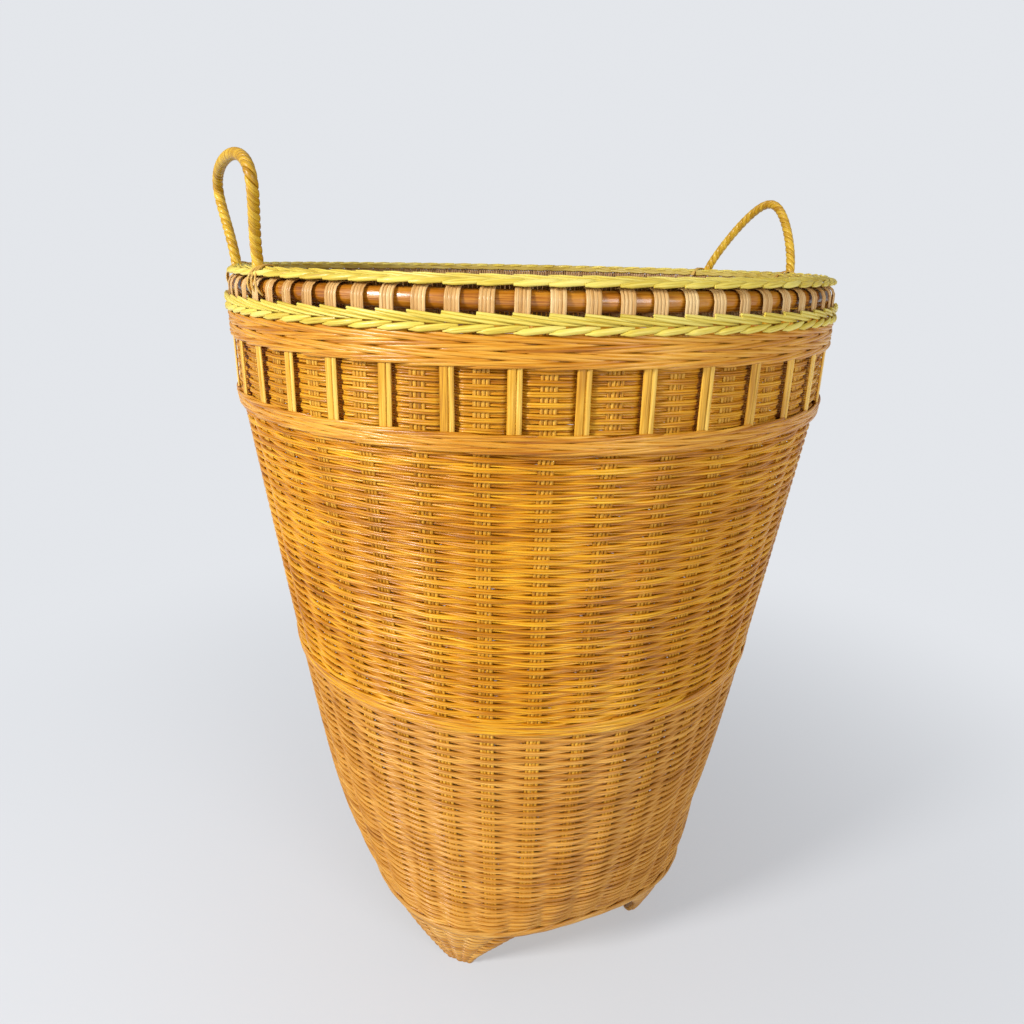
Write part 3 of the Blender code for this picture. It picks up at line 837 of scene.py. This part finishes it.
def wrap_route(tree, size, number, share):
    bundle = number.groups(4.0)
    strip = number.within(4.0)
    leg = 0.36
    outer = (share / leg).clamped()
    inner = ((share - 1.0 + leg) / leg).clamped()
    bend = ((share - leg) / (1.0 - 2.0 * leg)).clamped() * math.pi
    radius = size["Hoop gauge"]
    out = bend.math("COSINE") * radius
    up = bend.math("SINE") * radius * 0.93
    low = (1.0 - outer) * size["Leg"] + inner * size["Leg"]
    odd = uneven(tree, vector(tree, number * 3.9, 0.5, 6.5), 1.0)
    angle = bundle * WRAP_PITCH + ((strip - 1.5) * size["Strip pitch"] + odd * 0.00018) / HOOP_R
    reach = HOOP_R + out + odd * 0.00012
    z = HOOP_Z + up - low
    along_x, along_y = angle.math("COSINE"), angle.math("SINE")
    tilt_out, tilt_up = bend.math("COSINE"), bend.math("SINE")
    facing = vector(tree, along_x * tilt_out, along_y * tilt_out, tilt_up)
    return vector(tree, reach * along_x, reach * along_y, z), facing, 1.0 + odd * 0.08


wrap_sizes = {"Strands": WRAPS * 4, "Points": 25, "Sides": 8, "Half thickness": 0.00030,
              "Half width": 0.00096, "Hoop gauge": 0.00670, "Strip pitch": 0.00180, "Leg": 0.0072}
wrap_cane = cane("wrap cane", (0.80, 0.58, 0.280), (0.60, 0.34, 0.110), (0.34, 0.15, 0.030), "run",
                 pools=0.7, gloss=0.5)
strands("rim_strips", wrap_sizes, wrap_route, False, wrap_cane,
        stands_for=("rim_wraps",))


def inner_wrap_route(tree, size, number, share):
    odd = uneven(tree, vector(tree, number * 3.3, 2.5, 4.5), 1.0)
    angle = (number + 0.5) * (WRAP_PITCH / INNER_STRIPS) + odd * 0.0006
    inside = (share * math.pi).math("SINE") * 0.0008
    reach = size["Reach"] - inside + odd * 0.0002
    z = size["Foot"] + (size["Head"] - size["Foot"]) * share
    along_x, along_y = angle.math("COSINE"), angle.math("SINE")
    gap = number.within(float(INNER_STRIPS)).below(0.5)
    stout = 1.0 + odd * 0.06 - gap * 0.45
    place = vector(tree, reach * along_x, reach * along_y, z)
    return place, vector(tree, along_x, along_y, 0.0), stout


inner_wrap_sizes = {"Strands": WRAPS * INNER_STRIPS, "Points": 8, "Sides": 6, "Half thickness": 0.00040,
                    "Half width": 0.00112, "Reach": HOOP_R - 0.0064, "Foot": wall_top - 0.0030,
                    "Head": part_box("top_border")[0].z + 0.0006}
# The inner legs take the wrap cane's colours painted darker: painted shade for the inside of the rim.
shade_painted_inner_cane = cane("inner wrap painted shade cane", (0.52, 0.32, 0.13), (0.36, 0.19, 0.06), (0.20, 0.09, 0.02), "run",
                  pools=0.7, gloss=0.3)
strands("rim_inner_strips", inner_wrap_sizes, inner_wrap_route, False, shade_painted_inner_cane)


# ---------------------------------------------------------------- plaited borders
# Peeled yellow cane is plaited round the rim. The lower border lies over the strips' feet in
# two rows that lean against each other, and the top one covers the hoop from outside to inside.
def plait_route(tree, size, number, share):
    element = number.groups(size["Members"])
    member = number.within(size["Members"])
    odd = uneven(tree, vector(tree, number * 3.3, 1.5, 2.5), 1.0)
    turn = (element + size["Start"] + share * size["Span"] + odd * 0.05) * WRAP_PITCH
    tip = (share / 0.24).eased() * (1.0 - size["Tip"]) + size["Tip"]
    tail = ((1.0 - share) / 0.30).eased() * (1.0 - size["Tail"]) + size["Tail"]
    fan = (member - (size["Members"] - 1.0) * 0.5) * size["Member gap"] * tip * tail
    z = size["Foot"] + (size["Head"] - size["Foot"]) * share + fan * size["Tilt"].math("COSINE")
    arch = (share * math.pi).math("SINE") * size["Bulge"] - fan * size["Tilt"].math("SINE")
    reach = size["Inner"] + (size["Outer"] - size["Inner"]) * share + arch + odd * 0.00015
    along_x, along_y = turn.math("COSINE"), turn.math("SINE")
    level_part, upright_part = size["Tilt"].math("COSINE"), size["Tilt"].math("SINE")
    facing = vector(tree, along_x * level_part, along_y * level_part, upright_part)
    stout = tip * tail * (1.0 + odd * 0.10)
    return vector(tree, reach * along_x, reach * along_y, z), facing, stout


yellow_cane = cane("yellow plait cane", (0.80, 0.70, 0.190), (0.70, 0.54, 0.070),
                   (0.40, 0.25, 0.014), "run", pools=0.5, gloss=0.55)


def plait(name, members, start, span, foot, head, inner, outer, bulge, half_width, half_thick,
          gap, tilt, ends, stands_for=(), material=yellow_cane):
    sizes = {"Strands": WRAPS * members, "Points": 16, "Sides": 8, "Half thickness": half_thick,
             "Half width": half_width, "Members": float(members), "Start": start, "Span": span,
             "Foot": foot, "Head": head, "Inner": inner, "Outer": outer, "Bulge": bulge,
             "Member gap": gap, "Tilt": tilt, "Tip": ends[0], "Tail": ends[1]}
    return strands(name, sizes, plait_route, False, material,
                   stands_for=stands_for)


plait_low, plait_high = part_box("lower_plait")[0].z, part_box("lower_plait")[1].z
plait_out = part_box("lower_plait")[1].y
plait("lower_plait_lower", 1, -0.24, 1.45, plait_low + 0.0010, plait_low + 0.0040,
      plait_out - 0.0004, plait_out - 0.0018, 0.0008, 0.00162, 0.00120, 0.0, 0.0, (0.22, 0.50),
      ("lower_plait",))
plait("lower_plait_upper", 2, -0.27, 2.05, plait_high - 0.0010, plait_high - 0.0052,
      plait_out - 0.0002, plait_out - 0.0022, 0.0007, 0.00082, 0.00090, 0.00150, 0.12, (0.85, 0.50))
top_low, top_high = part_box("top_border")[0].z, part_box("top_border")[1].z
top_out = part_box("top_border")[1].y
plait("top_plait_outer", 1, -0.27, 1.50, top_low + 0.0008, top_high - 0.0018, top_out + 0.0003,
      top_out - 0.0030, 0.0009, 0.00158, 0.00120, 0.0, 0.40, (0.55, 0.30), ("top_border",))
plait("top_plait_crest", 2, -0.30, 1.9, top_high - 0.0001, top_high - 0.0020, top_out - 0.0056,
      top_out - 0.0024, 0.0002, 0.00066, 0.00070, 0.0016, 1.0, (0.5, 0.4))
plait("top_plait_face", 3, -0.2, 1.6, top_high - 0.0010, top_high - 0.0010, top_out - 0.0122,
      top_out - 0.0052, 0.0, 0.00125, 0.00080, 0.0022, 1.57, (0.6, 0.6))
# The inner border is the yellow plait cane painted darker: painted shade for the inside of the rim,
# which gets less light.
shade_painted_plait_cane = cane("painted shade plait cane", (0.62, 0.50, 0.150), (0.50, 0.36, 0.060),
                   (0.28, 0.17, 0.014), "run", pools=0.5, gloss=0.35)
plait("top_plait_inner", 2, 0.15, 1.75, top_low + 0.0012, top_high - 0.0014, top_out - 0.0136,
      top_out - 0.0122, 0.0, 0.00120, 0.00070, 0.0019, 2.8, (0.5, 0.5), material=shade_painted_plait_cane)


# ---------------------------------------------------------------- handles
# Each loop is a rattan core bent to shape and wound close with three flat golden canes. Its
# feet stand in the border and turn on the hoop, so the loop can lean in or out.
# A shape is its bearing, half its spread, height, lean, belly and crown.
handle_gold = cane("handle cane", (0.78, 0.54, 0.070), (0.60, 0.35, 0.018), (0.34, 0.15, 0.004),
                   "run", pools=0.5, gloss=0.6)
# The rattan core is coloured darker than the winding as painted shade, so the gaps between the turns
# read dark.
shade_painted_handle_core = cane("handle core painted shade", (0.50, 0.28, 0.040), (0.34, 0.15, 0.012), (0.20, 0.07, 0.004),
                 "run", pools=0.4, gloss=0.4)
HANDLE_SHAPES = {
    "right": (math.radians(2.5), 0.0481, 0.0529, math.radians(17.5), -0.22, 1.5),
    "left": (math.radians(185.2), 0.0410, 0.0590, math.radians(5.0), 2.40, 1.0),
}
HINGE_R = 0.1880
HINGE_Z = 0.5100


def winding(name, azimuth, spread, height, lean, belly, crown, gauge, starts, points, sides,
            half_thick, half_wide, material):
    """Canes wound round a loop: gauge is their distance from its middle, starts their number."""
    tree = bpy.data.node_groups.new(name, "GeometryNodeTree")
    sizes = {"Spread": spread, "Height": height, "Belly": belly, "Crown": crown, "Lean": lean,
             "Gauge": gauge, "Lead": -0.0140, "Starts": starts, "Points": points, "Sides": sides,
             "Half thickness": half_thick, "Half width": half_wide}
    tree.interface.new_socket("Geometry", in_out="INPUT", socket_type="NodeSocketGeometry")
    for label, amount in sizes.items():
        kind = "NodeSocketInt" if isinstance(amount, int) else "NodeSocketFloat"
        tree.interface.new_socket(label, in_out="INPUT", socket_type=kind)
    tree.interface.new_socket("Geometry", in_out="OUTPUT", socket_type="NodeSocketGeometry")
    entry = tree.nodes.new("NodeGroupInput")
    size = {label: Value(tree, entry.outputs[label]) for label in sizes}
    line = tree.nodes.new("GeometryNodeCurvePrimitiveLine")
    dense = tree.nodes.new("GeometryNodeResampleCurve")
    dense.inputs["Count"].default_value = 241
    tree.links.new(line.outputs["Curve"], dense.inputs["Curve"])
    share = Value(tree, tree.nodes.new("GeometryNodeSplineParameter").outputs["Factor"])
    bend = share * math.pi
    swell = bend.math("SINE") * bend.math("SINE") * size["Belly"] + 1.0
    aside = bend.math("COSINE") * swell * size["Spread"]
    rise = bend.math("SINE").clamped() ** size["Crown"] * size["Height"]
    foot = ((share - 0.5).math("ABSOLUTE") - 0.4995).math("GREATER_THAN", 0.0) * 0.0022
    up = rise - foot
    out = up * size["Lean"].math("SINE") + HINGE_R
    z = up * size["Lean"].math("COSINE") + HINGE_Z
    cos_a, sin_a = math.cos(azimuth), math.sin(azimuth)
    loop = vector(tree, out * cos_a - aside * sin_a, out * sin_a + aside * cos_a, z)
    bent = tree.nodes.new("GeometryNodeSetPosition")
    tree.links.new(dense.outputs["Curve"], bent.inputs["Geometry"])
    feed(tree, loop, bent.inputs["Position"])
    even = tree.nodes.new("GeometryNodeResampleCurve")
    tree.links.new(bent.outputs["Geometry"], even.inputs["Curve"])
    feed(tree, size["Points"], even.inputs["Count"])
    flatwise = tree.nodes.new("GeometryNodeSetCurveNormal")
    flatwise.mode = "FREE"
    tree.links.new(even.outputs["Curve"], flatwise.inputs["Curve"])
    plane = vector(tree, size["Lean"].math("COSINE") * cos_a, size["Lean"].math("COSINE") * sin_a,
                   size["Lean"].math("SINE") * -1.0)
    feed(tree, plane, flatwise.inputs["Normal"])
    seats = tree.nodes.new("GeometryNodeMeshLine")
    seats.inputs["Offset"].default_value = (0.0, 0.0, 0.0)
    feed(tree, size["Starts"], seats.inputs["Count"])
    number_in = tree.nodes.new("GeometryNodeInputIndex")
    mark = tree.nodes.new("GeometryNodeStoreNamedAttribute")
    mark.data_type = "FLOAT"
    mark.inputs["Name"].default_value = "strand"
    tree.links.new(seats.outputs["Mesh"], mark.inputs["Geometry"])
    feed(tree, Value(tree, number_in.outputs["Index"]) / size["Starts"], mark.inputs["Value"])
    copies = tree.nodes.new("GeometryNodeInstanceOnPoints")
    tree.links.new(mark.outputs["Geometry"], copies.inputs["Points"])
    tree.links.new(flatwise.outputs["Curve"], copies.inputs["Instance"])
    real = tree.nodes.new("GeometryNodeRealizeInstances")
    tree.links.new(copies.outputs["Instances"], real.inputs["Geometry"])
    strand = tree.nodes.new("GeometryNodeInputNamedAttribute")
    strand.data_type = "FLOAT"
    strand.inputs["Name"].default_value = "strand"
    normal = tree.nodes.new("GeometryNodeInputNormal")
    tangent = tree.nodes.new("GeometryNodeInputTangent")
    binormal = tree.nodes.new("ShaderNodeVectorMath")
    binormal.operation = "CROSS_PRODUCT"
    tree.links.new(tangent.outputs["Tangent"], binormal.inputs[0])
    tree.links.new(normal.outputs["Normal"], binormal.inputs[1])
    measure = tree.nodes.new("GeometryNodeSplineParameter")
    length = Value(tree, measure.outputs["Length"])
    phase = (length / size["Lead"] + Value(tree, strand.outputs["Attribute"])) * math.tau
    one = tree.nodes.new("ShaderNodeVectorMath")
    one.operation = "SCALE"
    tree.links.new(normal.outputs["Normal"], one.inputs[0])
    feed(tree, phase.math("COSINE"), one.inputs["Scale"])
    two = tree.nodes.new("ShaderNodeVectorMath")
    two.operation = "SCALE"
    tree.links.new(binormal.outputs["Vector"], two.inputs[0])
    feed(tree, phase.math("SINE"), two.inputs["Scale"])
    outward = tree.nodes.new("ShaderNodeVectorMath")
    outward.operation = "ADD"
    tree.links.new(one.outputs["Vector"], outward.inputs[0])
    tree.links.new(two.outputs["Vector"], outward.inputs[1])
    keep = tree.nodes.new("GeometryNodeStoreNamedAttribute")
    keep.data_type = "FLOAT_VECTOR"
    keep.inputs["Name"].default_value = "facing"
    tree.links.new(real.outputs["Geometry"], keep.inputs["Geometry"])
    tree.links.new(outward.outputs["Vector"], keep.inputs["Value"])
    facing = tree.nodes.new("GeometryNodeInputNamedAttribute")
    facing.data_type = "FLOAT_VECTOR"
    facing.inputs["Name"].default_value = "facing"
    step = tree.nodes.new("ShaderNodeVectorMath")
    step.operation = "SCALE"
    tree.links.new(facing.outputs["Attribute"], step.inputs[0])
    feed(tree, size["Gauge"], step.inputs["Scale"])
    coil = tree.nodes.new("GeometryNodeSetPosition")
    tree.links.new(keep.outputs["Geometry"], coil.inputs["Geometry"])
    tree.links.new(step.outputs["Vector"], coil.inputs["Offset"])
    turned = tree.nodes.new("GeometryNodeSetCurveNormal")
    turned.mode = "FREE"
    tree.links.new(coil.outputs["Geometry"], turned.inputs["Curve"])
    tree.links.new(facing.outputs["Attribute"], turned.inputs["Normal"])
    run = tree.nodes.new("GeometryNodeStoreNamedAttribute")
    run.data_type = "FLOAT"
    run.inputs["Name"].default_value = "run"
    tree.links.new(turned.outputs["Curve"], run.inputs["Geometry"])
    whole = tree.nodes.new("GeometryNodeSplineParameter")
    tree.links.new(whole.outputs["Length"], run.inputs["Value"])
    hoop = tree.nodes.new("GeometryNodeCurvePrimitiveCircle")
    hoop.inputs["Radius"].default_value = 1.0
    feed(tree, size["Sides"], hoop.inputs["Resolution"])
    at = tree.nodes.new("GeometryNodeInputPosition")
    part = tree.nodes.new("ShaderNodeSeparateXYZ")
    tree.links.new(at.outputs["Position"], part.inputs["Vector"])
    thick, wide = Value(tree, part.outputs["X"]), Value(tree, part.outputs["Y"])
    mark_across = tree.nodes.new("GeometryNodeStoreNamedAttribute")
    mark_across.data_type = "FLOAT"
    mark_across.inputs["Name"].default_value = "across"
    tree.links.new(hoop.outputs["Curve"], mark_across.inputs["Geometry"])
    feed(tree, wide, mark_across.inputs["Value"])
    shape = tree.nodes.new("GeometryNodeSetPosition")
    tree.links.new(mark_across.outputs["Geometry"], shape.inputs["Geometry"])
    feed(tree, vector(tree, thick * size["Half thickness"], wide * size["Half width"], 0.0),
         shape.inputs["Position"])
    skin = tree.nodes.new("GeometryNodeCurveToMesh")
    tree.links.new(run.outputs["Geometry"], skin.inputs["Curve"])
    tree.links.new(shape.outputs["Geometry"], skin.inputs["Profile Curve"])
    skin.inputs["Fill Caps"].default_value = True
    smooth = tree.nodes.new("GeometryNodeSetShadeSmooth")
    tree.links.new(skin.outputs["Mesh"], smooth.inputs["Geometry"])
    last = tree.nodes.new("GeometryNodeRealizeInstances")
    tree.links.new(smooth.outputs["Geometry"], last.inputs["Geometry"])
    coat = tree.nodes.new("GeometryNodeSetMaterial")
    coat.inputs["Material"].default_value = material
    tree.links.new(last.outputs["Geometry"], coat.inputs["Geometry"])
    leave = tree.nodes.new("NodeGroupOutput")
    tree.links.new(coat.outputs["Geometry"], leave.inputs["Geometry"])
    return plain_piece(name, tree, sizes)


for side, shape in HANDLE_SHAPES.items():
    core = winding(f"handle_{side}_core", *shape, 0.0, 1, 160, 10, 0.0023, 0.0023, shade_painted_handle_core)
    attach(core, f"{side}_handle")
    wound = winding(f"handle_{side}_winding", *shape, 0.0022, 3, 420, 8, 0.0010, 0.0018,
                    handle_gold)
    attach(wound, f"{side}_handle")
    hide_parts(f"handle_{side}")


# ---------------------------------------------------------------- lashings
# Three thin cane straps lash each foot of a handle: they start inside the rim, cross the border
# and the hoop on a slant and end behind the lower plait.
def lashing_route(tree, size, number, share):
    foot = number.groups(3.0)
    strap = number.within(3.0)
    handle = foot.groups(2.0)
    end = foot.within(2.0) * 2.0 - 1.0
    middle = size["Right bearing"] + (size["Left bearing"] - size["Right bearing"]) * handle
    apart = size["Right spread"] + (size["Left spread"] - size["Right spread"]) * handle
    bearing = middle + end * (apart / HINGE_R).math("ARCTANGENT")
    slant = (strap - 1.0) * size["Slant"] * (share - 0.35) + (strap - 1.0) * 0.0016
    angle = bearing + end * 0.0045 / HINGE_R + slant / HINGE_R
    sweep = 2.75 - share * 3.55
    reach = size["Middle"] + sweep.math("COSINE") * size["Deep"]
    z = size["Level"] + sweep.math("SINE") * size["Tall"]
    along_x, along_y = angle.math("COSINE"), angle.math("SINE")
    facing = vector(tree, along_x * sweep.math("COSINE"), along_y * sweep.math("COSINE"),
                    sweep.math("SINE"))
    return vector(tree, reach * along_x, reach * along_y, z), facing, 1.0 + share * 0.0


lashing_nodes = [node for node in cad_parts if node.startswith("lashing_")]
right_bearing, right_spread = HANDLE_SHAPES["right"][:2]
left_bearing, left_spread = HANDLE_SHAPES["left"][:2]
lashing_sizes = {"Strands": 12, "Points": 32, "Sides": 8, "Half thickness": 0.00048,
                 "Half width": 0.00105, "Right bearing": right_bearing, "Right spread": right_spread,
                 "Left bearing": left_bearing, "Left spread": left_spread, "Slant": 0.0075,
                 "Middle": 0.1895, "Deep": 0.0096, "Level": 0.5030, "Tall": 0.0090}
lashing_cane = cane("lashing cane", (0.70, 0.46, 0.110), (0.46, 0.24, 0.035), (0.20, 0.08, 0.008),
                    "run", pools=0.6, gloss=0.5)
strands("lashing_straps", lashing_sizes, lashing_route, False, lashing_cane,
        stands_for=lashing_nodes)
